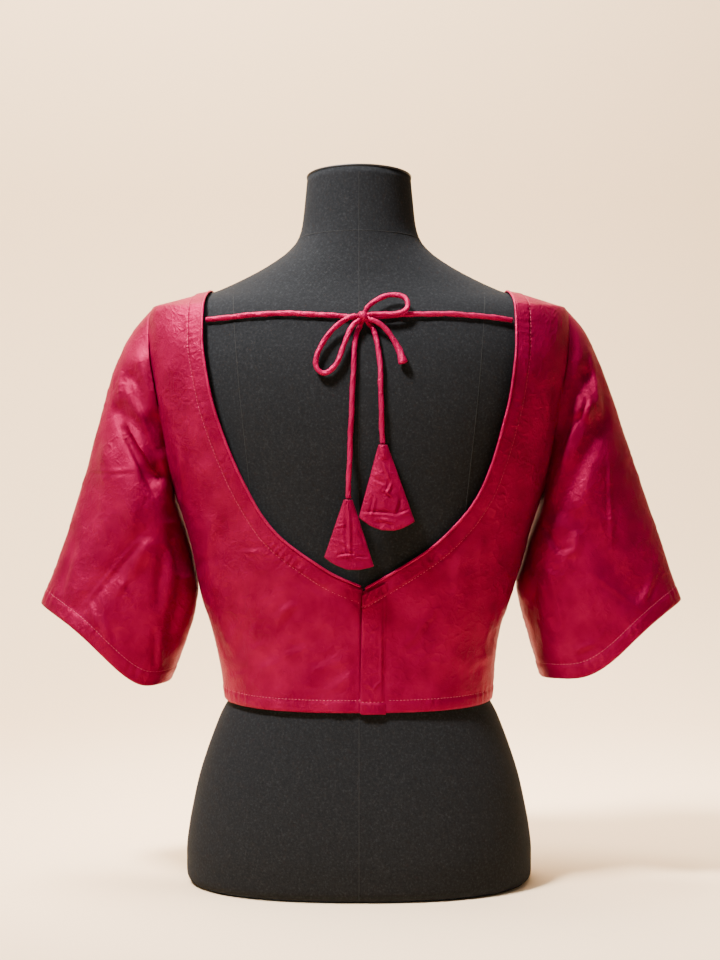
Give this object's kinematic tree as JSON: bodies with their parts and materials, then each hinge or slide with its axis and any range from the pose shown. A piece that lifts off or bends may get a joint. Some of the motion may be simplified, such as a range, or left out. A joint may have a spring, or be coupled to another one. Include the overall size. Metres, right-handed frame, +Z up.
{
  "type": "choli blouse on dress form",
  "caption": "Cropped blouse with flared elbow sleeves and a deep open back closed by a tied cord with tassels, on a limbless dress form.",
  "frame": {"origin": "middle of the dress form's flat base, on the surface it stands on", "axes": "+Z up, +Y towards the blouse's front, so that its open back faces -Y; +X towards its wearer's right side"},
  "size_m": [0.64, 0.259, 0.7082],
  "materials": {
    "cloth": "crimson silk-cotton with a soft sheen and fine crinkles",
    "trim": "the same crimson cloth cut on the bias and rolled into cord",
    "jersey": "charcoal jersey, matt",
    "cap": "black, matt"
  },
  "bodies": {
    "root": {"dress_form": "jersey", "neck_cap": "cap", "back_panel_left": "cloth", "back_panel_right": "cloth", "front_panel": "cloth", "placket_right": "cloth", "sleeve_left": "cloth", "sleeve_right": "cloth", "neck_piping_left": "trim", "neck_piping_right": "trim", "neck_piping_front": "trim", "tie_strap_left": "trim", "tie_strap_right": "trim", "bow_knot": "trim", "bow_loop_left": "trim", "bow_loop_right": "trim", "tie_tail_left": "trim", "tie_tail_right": "trim", "tie_tail_short": "trim", "tassel_left": "cloth", "tassel_right": "cloth"}
  },
  "joints": []
}
